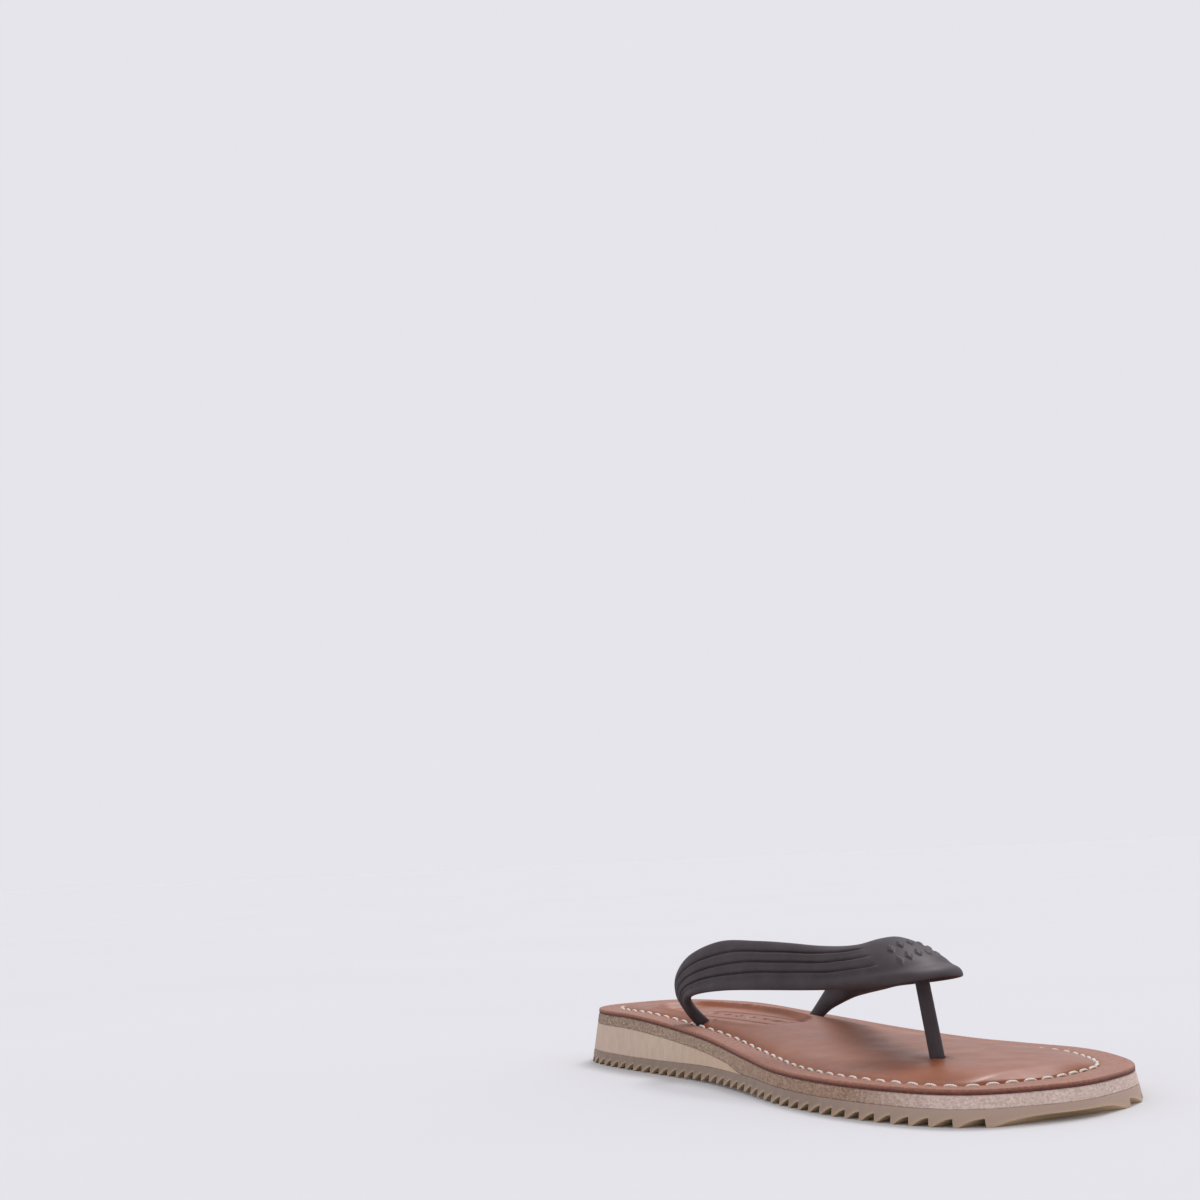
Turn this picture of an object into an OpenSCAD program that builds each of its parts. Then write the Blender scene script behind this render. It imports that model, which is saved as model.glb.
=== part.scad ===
// Leather flip flop for the left foot: a stitched leather footbed over foam, a leather midsole,
// a heel wedge, a sawtooth rubber outsole and a moulded rubber thong strap plugged through the sole.
// Frame: origin on the floor under the middle of the outsole, +X to the toe, +Y to the little toe,
// +Z up. Millimetres.

/* [Sole] */
// Length of the footbed from heel to toe
footbed_length = 256; // [240:1:280]
// Width of the footbed across the ball of the foot
footbed_width = 104; // [96:1:112]
// Flare of the heel's sides, from the footbed's edge out to the floor
heel_flare = 3.5; // [0.5:0.5:4]
// Flare of the toe's sides, from the footbed's edge out to the floor
toe_flare = 1.5; // [0.5:0.5:4]
// Height of the waist of the sole above the floor
waist_rise = 0.8; // [0:0.1:2]

/* [Layers] */
// Thickness of the rubber outsole with its teeth
outsole_thick = 4.9; // [4:0.1:7]
// Height of the wedge under the heel
wedge_thick = 10; // [6:0.5:16]
// Thickness of the leather midsole
midsole_thick = 3.8; // [3.5:0.1:6]
// Thickness of the leather footbed cover
cover_thick = 1.7; // [1.5:0.1:2.5]
// Height of the foam pad under the middle of the footbed
pad_crown = 2.6; // [1:0.1:4]

/* [Tread] */
// Distance from one tooth of the outsole to the next
tooth_pitch = 6.2; // [5:0.1:8]
// Depth of the notches between the teeth
tooth_depth = 2.4; // [1.5:0.1:3]
// Length of the flat tip of each tooth
tooth_tip = 1; // [0.6:0.1:2]

/* [Stitching] */
// Distance of the stitch line from the footbed's edge
stitch_inset = 9; // [6:0.5:12]
// Distance from one stitch to the next
stitch_pitch = 6.4; // [5:0.1:8]
// Length of thread that shows in each stitch
stitch_length = 4.4; // [3:0.1:4.8]
// Diameter of the thread
thread_diameter = 0.9; // [0.6:0.1:1.2]

/* [Strap] */
// Diameter of the toe post and of the two side stems
post_diameter = 5; // [4:0.1:6]
// Diameter of the plug heads under the midsole
plug_diameter = 13; // [10:0.5:15]
// Thickness of each plug head
plug_thick = 1.8; // [1.4:0.1:2]
// Thickness of each retaining washer
washer_thick = 0.8; // [0.5:0.1:1]

/* [Hidden] */
clearance = 0.15;
reach = 200;

// Half outlines of the footbed at rows along its length: x, inner side y, outer side y,
// on a footbed 256 long and 104 wide.
outline_rows = [
    [-126, -18, 6],
    [-119, -27.5, 15],
    [-105, -33, 20],
    [-80, -35, 23.5],
    [-50, -35, 27.5],
    [-20, -36.5, 34],
    [10, -42, 43],
    [40, -49, 50],
    [70, -52, 52],
    [97, -49.5, 42.5],
    [115, -43, 29.5],
    [124.5, -31, 12]
];
heel_end = [-127, -5];
toe_end = [129, -7];
length_scale = footbed_length / 256;
width_scale = footbed_width / 104;
spline_steps = 4;

// A smooth curve through four points, at t from the second to the third.
function spline(a, b, c, d, t) =
    (2 * b + (c - a) * t + (2 * a - 5 * b + 4 * c - d) * t * t + (3 * b - a - 3 * c + d) * t * t * t) / 2;
function smooth(t) = t <= 0 ? 0 : t >= 1 ? 1 : t * t * (3 - 2 * t);
function scaled(p) = [p[0] * length_scale, p[1] * width_scale];

row_total = len(outline_rows);
outline = concat(
    [scaled(heel_end)],
    [for (r = outline_rows) scaled([r[0], r[1]])],
    [scaled(toe_end)],
    [for (k = [row_total - 1:-1:0]) scaled([outline_rows[k][0], outline_rows[k][2]])]
);
corner_total = len(outline);
function corner(k) = outline[(k + corner_total) % corner_total];
edge = [
    for (k = [0:corner_total - 1]) for (s = [0:spline_steps - 1])
        spline(corner(k - 1), corner(k), corner(k + 1), corner(k + 2), s / spline_steps)
];
edge_total = len(edge);
half_total = edge_total / 2;
function edge_step(k) = edge[(k + 1) % edge_total] - edge[(k - 1 + edge_total) % edge_total];
outward = [for (k = [0:edge_total - 1]) let (s = edge_step(k)) [s[1], -s[0]] / norm(s)];

// The edge of the sole moved outward by d, at point k counted round from the heel.
function grown(k, d) = edge[k] + d * outward[k];
function row_x(r) = (edge[r][0] + edge[edge_total - r][0]) / 2;

// Heights of the faces between the layers, at a distance x along the sole.
function floor_z(x) = waist_rise * smooth((x + 65) / 50) * smooth((55 - x) / 50);
function slope_at(x) = wedge_thick * (1 - smooth((x + 90) / 122));
function wedge_at(x) = slope_at(x) * (1 - smooth((x + 6) / 16));
function outsole_top(x) = floor_z(x) + outsole_thick;
function midsole_under(x) = outsole_top(x) + wedge_at(x);
function midsole_top(x) = outsole_top(x) + slope_at(x) + midsole_thick;
function side_flare(x) = heel_flare + (toe_flare - heel_flare) * (x / footbed_length + 0.5);
function flare_at(x, z) = side_flare(x) * (midsole_top(x) - z) / (midsole_top(x) - floor_z(x));

// Each row of a layer runs from the inner edge to the outer edge through these columns: the edge,
// the stitch line, five points across the pad, the stitch line and the edge.
across = [0, 0, 0.08, 0.25, 0.5, 0.75, 0.92, 1, 1];
pad_shape = [0, 0, 0.5, 0.94, 1, 0.94, 0.5, 0, 0];
column_total = len(across);
pad_edge = 0.4;
feather_edge = 0.3;
function pad_row(r) = smooth(min(r, half_total - r) / 7);
function pad_lift(r, c) =
    c == 0 || c == column_total - 1 ? 0 : pad_edge + (pad_crown - pad_edge) * pad_shape[c] * pad_row(r);
function row_point(r, c, d) =
    c == 0 ? grown(r, d)
    : c == column_total - 1 ? grown(edge_total - r, d)
    : grown(r, -stitch_inset) * (1 - across[c]) + grown(edge_total - r, -stitch_inset) * across[c];

// A sheet of points over the sole: rows from first to last and columns from c1 to c2. The height
// list holds one value for each row, and lift times the pad's height is added to it.
function sheet(height, first, last, c1, c2, lift, extra) = [
    for (r = [first:last]) for (c = [c1:c2])
        let (z = height[r], p = row_point(r, c, flare_at(row_x(r), min(z, midsole_top(row_x(r))))))
            [p[0], p[1], z + lift * pad_lift(r, c) + extra]
];

// The triangles of a closed layer between a lower and an upper sheet of rows by columns points.
// A rounded end is closed by a fan from its inner edge, and a straight end by a wall.
function layer_faces(rows, columns, start_fan, end_fan) =
    let (
        up = rows * columns,
        last = columns - 1,
        foot = (rows - 1) * columns
    ) concat(
        [for (r = [0:rows - 2]) for (c = [0:columns - 2])
            let (a = up + r * columns + c, d = a + columns)
            each [[a, a + 1, d + 1], [a, d + 1, d]]],
        [for (r = [0:rows - 2]) for (c = [0:columns - 2])
            let (a = r * columns + c, d = a + columns)
            each [[a, d + 1, a + 1], [a, d, d + 1]]],
        [for (r = [0:rows - 2])
            let (a = r * columns, d = a + columns)
            each [[a, up + a, up + d], [a, up + d, d]]],
        [for (r = [0:rows - 2])
            let (a = r * columns + last, d = a + columns)
            each [[d, up + d, up + a], [d, up + a, a]]],
        start_fan
        ? concat(
            [for (c = [1:last - 1]) each [[up, up + c + 1, up + c], [0, c, c + 1]]],
            [[last, up + last, up], [last, up, 0]])
        : [for (c = [0:last - 1]) each [[c + 1, up + c + 1, up + c], [c + 1, up + c, c]]],
        end_fan
        ? concat(
            [for (c = [1:last - 1])
                each [[foot + up, foot + up + c, foot + up + c + 1], [foot, foot + c + 1, foot + c]]],
            [[foot, foot + up, foot + up + last], [foot, foot + up + last, foot + last]])
        : [for (c = [0:last - 1])
            let (a = foot + c)
            each [[a, up + a, up + a + 1], [a, up + a + 1, a + 1]]]
    );

last_row = half_total - 1;
wedge_rows = [for (r = [1:last_row]) if (row_x(r) < 10) r];
wedge_end = wedge_rows[len(wedge_rows) - 1];
row_heights = [for (r = [0:half_total]) row_x(min(max(r, 1), last_row))];
floor_heights = [for (x = row_heights) floor_z(x)];
outsole_heights = [for (x = row_heights) outsole_top(x)];
wedge_heights = [
    for (r = [0:half_total])
        outsole_heights[r] + (r > wedge_end ? 0 : max(wedge_at(row_heights[r]), feather_edge))
];
midsole_heights = [for (x = row_heights) midsole_top(x)];

// A full layer of the sole between two lists of row heights.
module layer(low, high, lift = 0, low_extra = 0, high_extra = 0) {
    polyhedron(
        points = concat(
            sheet(low, 1, last_row, 0, column_total - 1, lift, low_extra),
            sheet(high, 1, last_row, 0, column_total - 1, lift, high_extra)),
        faces = layer_faces(last_row, column_total, true, true)
    );
}

// Where the strap's post and stems pass through the sole: x, y.
toe_hole = [71.5, -10.2];
medial_hole = [-46, -22.5];
lateral_hole = [-35, 17.7];
anchor_sink = 1.3;
washer_diameter = plug_diameter + 0.6;
pocket_height = plug_thick + washer_thick;
function plug_base(hole) = midsole_under(hole[0]) - (hole[0] < 0 ? anchor_sink : 0);

module at_each_hole() {
    for (hole = [toe_hole, medial_hole, lateral_hole])
        translate([hole[0], hole[1], 0]) children();
}

module stem_holes() {
    at_each_hole() cylinder(h = reach, d = post_diameter + 2 * clearance, $fn = 32);
}

module plug_pockets() {
    for (hole = [toe_hole, medial_hole, lateral_hole])
        translate([hole[0], hole[1], hole[0] < 0 ? plug_base(hole) : 0])
            cylinder(
                h = plug_base(hole) + pocket_height - (hole[0] < 0 ? plug_base(hole) : 0),
                d = washer_diameter + 2 * clearance, $fn = 48);
}

// Notches across the sole: each tooth drops straight on its heel side and slopes up on its toe side.
// The foremost slope runs out past the toe.
tooth_front = footbed_length / 2 - 3.4;
last_notch = floor((tooth_front + footbed_length / 2) / tooth_pitch);
module notches() {
    for (k = [-1:last_notch]) {
        x = tooth_front - k * tooth_pitch - tooth_tip;
        drop_x = k < 0 ? x + tooth_pitch : x;
        z = floor_z(x);
        run = tooth_pitch - tooth_tip;
        translate([0, reach / 2, 0]) rotate([90, 0, 0])
            linear_extrude(height = reach)
                polygon([
                    [drop_x, z - 2], [drop_x, z + tooth_depth], [x - run * 0.25, z + tooth_depth * 0.92],
                    [x - run, z], [x - run, z - 2]
                ]);
    }
}

module outsole() {
    color("#a58a72")
    difference() {
        layer(floor_heights, outsole_heights);
        notches();
    }
}

module heel_wedge() {
    color("#cdb49c")
    difference() {
        polyhedron(
            points = concat(
                sheet(outsole_heights, 1, wedge_end, 0, column_total - 1, 0, 0),
                sheet(wedge_heights, 1, wedge_end, 0, column_total - 1, 0, 0)),
            faces = layer_faces(wedge_end, column_total, true, false)
        );
        plug_pockets();
    }
}

module midsole() {
    color("#b39a80")
    difference() {
        layer(wedge_heights, midsole_heights);
        plug_pockets();
        stem_holes();
    }
}

module foam_pad() {
    color("#e0d6c4")
    difference() {
        polyhedron(
            points = concat(
                sheet(midsole_heights, 1, last_row, 1, column_total - 2, 0, 0),
                sheet(midsole_heights, 1, last_row, 1, column_total - 2, 1, 0)),
            faces = layer_faces(last_row, column_total - 2, false, false)
        );
        stem_holes();
    }
}

module footbed_cover() {
    color("#9b5c3e")
    difference() {
        layer(midsole_heights, midsole_heights, lift = 1, high_extra = cover_thick);
        stem_holes();
    }
}

// One stitch lying along X: a short rod of thread with round ends.
module stitch() {
    r = thread_diameter / 2;
    straight = stitch_length - thread_diameter;
    rotate([0, 90, 0])
        rotate_extrude($fn = 16)
            intersection() {
                union() {
                    translate([0, straight / 2]) circle(r = r, $fn = 16);
                    translate([0, -straight / 2]) circle(r = r, $fn = 16);
                    translate([0, -straight / 2]) square([r, straight]);
                }
                translate([0, -stitch_length]) square([r + 1, 2 * stitch_length]);
            }
}

// The stitch line follows the edge at the stitch inset. Its points, its length up to each point
// and the point and heading at a distance along it.
stitch_path = [
    for (k = [1:edge_total])
        let (
            j = k % edge_total,
            r = min(max(min(j, edge_total - j), 1), last_row),
            p = grown(j, -stitch_inset)
        ) [p[0], p[1], midsole_top(row_x(r)) + pad_edge + cover_thick]
];
path_total = len(stitch_path);
function path_point(k) = stitch_path[k % path_total];
function running(k, sum) = k >= path_total ? [sum] :
    concat([sum], running(k + 1, sum + norm(path_point(k + 1) - path_point(k))));
path_length = running(0, 0);
stitch_total = floor(path_length[path_total] / stitch_pitch);
function path_index(d) = len([for (l = path_length) if (l <= d) l]) - 1;

module stitch_thread() {
    spacing = path_length[path_total] / stitch_total;
    color("#d7d0c0")
    for (k = [0:stitch_total - 1]) {
        d = (k + 0.5) * spacing;
        i = path_index(d);
        step = path_point(i + 1) - path_point(i);
        p = path_point(i) + step * (d - path_length[i]) / norm(step);
        translate([p[0], p[1], p[2] + thread_diameter / 2 + 0.12])
            rotate([0, -asin(step[2] / norm(step)), atan2(step[1], step[0])])
                stitch();
    }
}

// The strap is a band that runs from the inner stem, over the foot and round the nose, to the outer
// stem. Each row holds the lower front edge (x, distance from the strap's centre line, height), the
// upper rear edge in the same way, and the band's swell outward and inward from its middle.
medial_rows = [
    [[-45.5, 21, 18.1], [-47, 20, 18.1], [2.2, 2.2]],
    [[-46, 25.5, 21.4], [-51, 25, 23.4], [2.2, 2.2]],
    [[-43.5, 29, 26.6], [-53, 28.5, 31.1], [2.2, 2]],
    [[-34, 30.5, 29.5], [-49.5, 29, 37.8], [2.2, 1.8]],
    [[-16.5, 28.7, 31.5], [-40.5, 27.5, 43.8], [2.3, 1.7]],
    [[5.5, 25, 32.4], [-23.5, 24.5, 48.2], [2.4, 1.6]],
    [[22.5, 20.5, 32.8], [-4, 20.5, 48.4], [2.5, 1.6]],
    [[38, 16.5, 33.4], [12, 16, 47.7], [2.6, 1.6]],
    [[53, 14.8, 34.4], [26.5, 11.5, 46.6], [3.5, 1.5]],
    [[65.5, 13.5, 35.6], [38, 7, 46.6], [3.7, 1.3]],
    [[74.5, 9.5, 37.1], [44.5, 3, 47.8], [3.5, 1.2]]
];
nose_row = [[77.5, 0, 38], [47.5, 0, 48.2], [3.5, 1.2]];
lateral_rows = [
    [[-33, 20.2, 18.8], [-37, 20.2, 18.8], [2.2, 2.2]],
    [[-30.5, 24.8, 20.5], [-37.5, 24.8, 22.4], [2.2, 2.2]],
    [[-26.5, 28.2, 22.8], [-36.5, 28.2, 27.5], [2.2, 2]],
    [[-20, 30, 24.8], [-32.5, 29, 33], [2.2, 1.8]],
    [[-8.5, 28.5, 26.8], [-25.5, 27.5, 38.1], [2.3, 1.7]],
    [[6.5, 25, 29], [-14, 24.5, 41.5], [2.4, 1.6]],
    [[22.5, 20.5, 31.3], [-1, 20.5, 43.1], [2.5, 1.6]],
    [[38.5, 16.5, 33], [13, 15.6, 44.4], [2.6, 1.6]],
    [[53, 14.8, 34.5], [27, 11.2, 45.6], [3.5, 1.5]],
    [[65.5, 13.5, 36.1], [38.5, 6.8, 46.4], [3.7, 1.3]],
    [[74.5, 9.5, 37.5], [44.5, 3, 47.8], [3.5, 1.2]]
];
band_steps = 3;
ring_total = 12;
function centre_y(x) = -2 - 0.07 * (x + 42);
function placed(p, side) = [p[0], centre_y(p[0]) + side * p[1], p[2]];
function placed_row(row, side) = [placed(row[0], side), placed(row[1], side), row[2]];
band_rows = concat(
    [for (row = medial_rows) placed_row(row, -1)],
    [placed_row(nose_row, 1)],
    [for (k = [len(lateral_rows) - 1:-1:0]) placed_row(lateral_rows[k], 1)]
);
band_total = len(band_rows);
function band_row(k) = band_rows[min(max(k, 0), band_total - 1)];
function band_value(k, n, t) =
    spline(band_row(k - 1)[n], band_row(k)[n], band_row(k + 1)[n], band_row(k + 2)[n], t);
band = concat(
    [for (k = [0:band_total - 2]) for (s = [0:band_steps - 1])
        [for (n = [0:2]) band_value(k, n, s / band_steps)]],
    [band_row(band_total - 1)]
);
station_total = len(band);
function band_middle(k) = (band[k][0] + band[k][1]) / 2;
function band_travel(k) = band_middle(min(k + 1, station_total - 1)) - band_middle(max(k - 1, 0));
function band_ring(k) =
    let (
        wide = (band[k][1] - band[k][0]) / 2,
        across_band = cross(band_travel(k), wide),
        up = across_band / norm(across_band)
    ) [
        for (a = [0:ring_total - 1])
            let (angle = a * 360 / ring_total)
            band_middle(k) + wide * cos(angle)
                + up * sin(angle) * (sin(angle) > 0 ? band[k][2][0] : band[k][2][1])
    ];

module band() {
    last_ring = (station_total - 1) * ring_total;
    polyhedron(
        points = [for (k = [0:station_total - 1]) each band_ring(k)],
        faces = concat(
            [for (k = [0:station_total - 2]) for (a = [0:ring_total - 1])
                let (
                    near = k * ring_total,
                    far = near + ring_total,
                    next = (a + 1) % ring_total
                )
                each [[far + a, far + next, near + next], [far + a, near + next, near + a]]],
            [[for (a = [0:ring_total - 1]) a]],
            [[for (a = [ring_total - 1:-1:0]) last_ring + a]]
        )
    );
}

// The plug that holds the strap under the midsole: a head, a stem and a rounded top.
module plug(hole, top_z) {
    translate([hole[0], hole[1], plug_base(hole)]) {
        cylinder(h = plug_thick, d = plug_diameter, $fn = 48);
        cylinder(h = top_z - plug_base(hole), d = post_diameter - 0.4, $fn = 32);
    }
    translate([hole[0], hole[1], top_z]) sphere(d = post_diameter - 0.4, $fn = 24);
}

post_foot_z = 14;
post_top = [64.9, -10.3, 42.8];
module toe_post() {
    foot = [toe_hole[0], toe_hole[1], post_foot_z];
    lean = post_top - foot;
    translate(foot)
        rotate([0, acos(lean[2] / norm(lean)), atan2(lean[1], lean[0])])
            cylinder(h = norm(lean), d = post_diameter, $fn = 32);
    translate(foot) sphere(d = post_diameter, $fn = 24);
    plug(toe_hole, post_foot_z);
}

module strap() {
    color("#3e3636")
    union() {
        band();
        toe_post();
        plug(medial_hole, medial_rows[0][0][2] + 1.4);
        plug(lateral_hole, lateral_rows[0][0][2] + 1.4);
    }
}

// A thin ring between a plug head and the midsole.
module washer(hole) {
    color("#c9ccd0")
    translate([hole[0], hole[1], plug_base(hole) + plug_thick])
        difference() {
            cylinder(h = washer_thick, d = washer_diameter, $fn = 48);
            translate([0, 0, -1])
                cylinder(h = washer_thick + 2, d = post_diameter + 2 * clearance, $fn = 32);
        }
}

module toe_washer() {
    washer(toe_hole);
}

module medial_washer() {
    washer(medial_hole);
}

module lateral_washer() {
    washer(lateral_hole);
}

outsole();
heel_wedge();
midsole();
foam_pad();
footbed_cover();
stitch_thread();
strap();
toe_washer();
medial_washer();
lateral_washer();
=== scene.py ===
import math
import bmesh
import bpy
import numpy as np
from mathutils import Matrix, Vector


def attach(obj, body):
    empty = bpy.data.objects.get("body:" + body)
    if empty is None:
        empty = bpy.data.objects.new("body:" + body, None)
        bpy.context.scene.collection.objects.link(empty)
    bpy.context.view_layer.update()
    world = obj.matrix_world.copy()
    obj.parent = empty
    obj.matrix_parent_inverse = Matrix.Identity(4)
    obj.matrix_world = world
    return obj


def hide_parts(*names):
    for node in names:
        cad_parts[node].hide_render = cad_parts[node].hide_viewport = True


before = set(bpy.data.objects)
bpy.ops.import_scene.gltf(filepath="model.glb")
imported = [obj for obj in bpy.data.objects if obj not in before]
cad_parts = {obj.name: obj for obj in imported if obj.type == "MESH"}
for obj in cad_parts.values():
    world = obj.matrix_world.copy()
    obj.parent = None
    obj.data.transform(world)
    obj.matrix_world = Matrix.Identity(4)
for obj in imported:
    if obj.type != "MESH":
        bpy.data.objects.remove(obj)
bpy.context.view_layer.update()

# A left flip flop. The shapes are worked out in millimetres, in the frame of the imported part,
# and turned into metres when they become a mesh.
mm = 0.001
rng = np.random.default_rng(7)


# ---------------------------------------------------------------- small tools
def smooth(t):
    # Eases from 0 to 1: t squared times (3 - 2t).
    t = np.clip(t, 0, 1)
    return t * t * (3 - 2 * t)


def bump(d, width):
    # A round bump of height 1 at d = 0 that dies away: exp of minus (d / width) squared.
    return np.exp(-(d / width) ** 2)


def through(a, b, c, d, t):
    # A smooth curve from b to c that leans on its neighbours a and d (Catmull-Rom): half
    # of 2b plus (c - a) t plus (2a - 5b + 4c - d) t squared plus (3b - a - 3c + d) t cubed.
    return (2 * b + (c - a) * t + (2 * a - 5 * b + 4 * c - d) * t ** 2
            + (3 * b - a - 3 * c + d) * t ** 3) / 2


def loopFaces(rows, columns):
    # Quads between neighbouring closed loops of points, each loop running back to its start.
    r, c = np.meshgrid(np.arange(rows - 1), np.arange(columns), indexing="ij")
    here, there = r * columns, (r + 1) * columns
    n = (c + 1) % columns
    return np.stack([here + c, there + c, there + n, here + n], -1).reshape(-1, 4)


def capFaces(rows, columns):
    # One many-sided face over the first loop and one over the last.
    last = (rows - 1) * columns
    return [list(range(columns)), [last + c for c in range(columns - 1, -1, -1)]]


def makePiece(name, points, faces, marks=None, sharp=32):
    # Builds a mesh object from points in millimetres, welds its doubled points and turns its faces
    # outward. Edges that bend by more than sharp degrees stay crisp.
    points = np.asarray(points, float).reshape(-1, 3)
    mesh = bpy.data.meshes.new(name)
    mesh.from_pydata((points * mm).tolist(), [], [list(map(int, f)) for f in faces])
    for key, values in (marks or {}).items():
        layer = mesh.attributes.new(key, "FLOAT_VECTOR", "POINT")
        layer.data.foreach_set("vector", np.asarray(values, np.float32).ravel())
    bm = bmesh.new()
    bm.from_mesh(mesh)
    bmesh.ops.remove_doubles(bm, verts=bm.verts, dist=0.002 * mm)
    bmesh.ops.dissolve_degenerate(bm, edges=bm.edges, dist=0.001 * mm)
    bmesh.ops.recalc_face_normals(bm, faces=bm.faces)
    bm.to_mesh(mesh)
    bm.free()
    mesh.polygons.foreach_set("use_smooth", [True] * len(mesh.polygons))
    mesh.set_sharp_from_angle(angle=math.radians(sharp))
    piece = bpy.data.objects.new(name, mesh)
    bpy.context.collection.objects.link(piece)
    return piece


def place(piece, material, slot, *nodes):
    # Gives a piece its material and lets it stand for CAD nodes. The slot is not used.
    piece.data.materials.append(material)
    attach(piece, "root")
    if nodes:
        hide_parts(*nodes)
    print("made", piece.name, len(piece.data.polygons), "faces")


# ---------------------------------------------------------------- materials
class Recipe:
    # A material's nodes, wired with short calls.
    def __init__(self, name):
        self.material = bpy.data.materials.new(name)
        self.material.use_nodes = True
        self.nodes = self.material.node_tree.nodes
        self.links = self.material.node_tree.links
        self.shader = self.nodes["Principled BSDF"]
        self.where = self.nodes.new("ShaderNodeTexCoord").outputs["Object"]

    def wire(self, value, socket):
        # Links an output, or sets a plain number.
        if isinstance(value, bpy.types.NodeSocket):
            self.links.new(value, socket)
        else:
            socket.default_value = value

    def stretched(self, scale):
        # The object's own x, y and z, each times its scale.
        node = self.nodes.new("ShaderNodeMapping")
        self.wire(self.where, node.inputs["Vector"])
        node.inputs["Scale"].default_value = scale
        return node.outputs["Vector"]

    def noise(self, scale, detail=3, rough=0.55, where=None):
        # Cloudy noise from 0 to 1, with this many waves to the metre.
        node = self.nodes.new("ShaderNodeTexNoise")
        self.wire(where or self.where, node.inputs["Vector"])
        node.inputs["Scale"].default_value = scale
        node.inputs["Detail"].default_value = detail
        node.inputs["Roughness"].default_value = rough
        return node.outputs["Fac"]

    def cells(self, scale):
        # Distance to the nearest of many scattered points.
        node = self.nodes.new("ShaderNodeTexVoronoi")
        self.wire(self.where, node.inputs["Vector"])
        node.inputs["Scale"].default_value = scale
        return node.outputs["Distance"]

    def split(self, vector):
        # The three parts of a vector.
        node = self.nodes.new("ShaderNodeSeparateXYZ")
        self.links.new(vector, node.inputs["Vector"])
        return node.outputs

    def mark(self, key):
        # The three numbers that the mesh carries at each point under this name.
        node = self.nodes.new("ShaderNodeAttribute")
        node.attribute_name = key
        return self.split(node.outputs["Vector"])

    def span(self, value, low, high, lowTo=0.0, highTo=1.0):
        # Maps low..high in a straight line to lowTo..highTo and holds the ends.
        node = self.nodes.new("ShaderNodeMapRange")
        self.wire(value, node.inputs["Value"])
        limits = (("From Min", low), ("From Max", high), ("To Min", lowTo), ("To Max", highTo))
        for key, number in limits:
            node.inputs[key].default_value = number
        return node.outputs["Result"]

    def sum(self, operation, a, b):
        # One step of arithmetic on a and b.
        node = self.nodes.new("ShaderNodeMath")
        node.operation = operation
        self.wire(a, node.inputs[0])
        self.wire(b, node.inputs[1])
        return node.outputs[0]

    def mix(self, share, a, b):
        # Colour a times (1 - share) plus colour b times share.
        node = self.nodes.new("ShaderNodeMix")
        node.data_type = "RGBA"
        self.wire(share, node.inputs[0])
        for value, socket in ((a, node.inputs[6]), (b, node.inputs[7])):
            self.wire(value if isinstance(value, bpy.types.NodeSocket) else (*value, 1), socket)
        return node.outputs[2]

    def raised(self, height, strength, distance, under=None):
        # Tilts the surface by the slope of a height, distance in millimetres, over another such tilt.
        node = self.nodes.new("ShaderNodeBump")
        self.wire(height, node.inputs["Height"])
        node.inputs["Strength"].default_value = strength
        node.inputs["Distance"].default_value = distance * mm
        if under is not None:
            self.links.new(under, node.inputs["Normal"])
        return node.outputs["Normal"]

    def finish(self, colour, roughness, normal=None, **fixed):
        # Feeds the shader and sets its other numbers.
        self.wire(colour, self.shader.inputs["Base Color"])
        self.wire(roughness, self.shader.inputs["Roughness"])
        if normal is not None:
            self.links.new(normal, self.shader.inputs["Normal"])
        for key, value in fixed.items():
            self.shader.inputs[key].default_value = value
        return self.material


def coverLeather():
    # Smooth cognac leather: cloudy dye, fine pores, burnished dark at the cut edge.
    r = Recipe("cognac_leather")
    edge, top, _ = r.mark("zone")
    cloud = r.noise(28, 4, 0.6)
    streak = r.noise(1, 3, 0.5, r.stretched((60, 160, 60)))
    colour = r.mix(r.span(cloud, 0.35, 0.7), (0.225, 0.063, 0.020), (0.305, 0.091, 0.030))
    colour = r.mix(r.span(streak, 0.45, 0.75, 0, 0.35), colour, (0.19, 0.056, 0.022))
    rim = r.mix(r.span(r.noise(900, 3), 0.35, 0.65), (0.245, 0.093, 0.052), (0.355, 0.146, 0.088))
    colour = r.mix(top, rim, colour)
    burnt = r.mix(r.span(r.noise(700, 2), 0.3, 0.7), (0.075, 0.020, 0.014), (0.15, 0.042, 0.028))
    colour = r.mix(edge, colour, burnt)
    pores = r.cells(1500)
    normal = r.raised(r.noise(2200, 4, 0.7), 0.35, 0.06)
    normal = r.raised(pores, 0.25, 0.05, normal)
    worn = r.span(r.noise(90, 4), 0.3, 0.7, 0.37, 0.51)
    rough = r.sum("MAXIMUM", worn, r.span(edge, 0, 1, 0.0, 0.8))
    rough = r.sum("MAXIMUM", rough, r.span(top, 0, 1, 0.58, 0.0))
    return r.finish(colour, rough, normal, **{"Specular IOR Level": 0.45})


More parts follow.
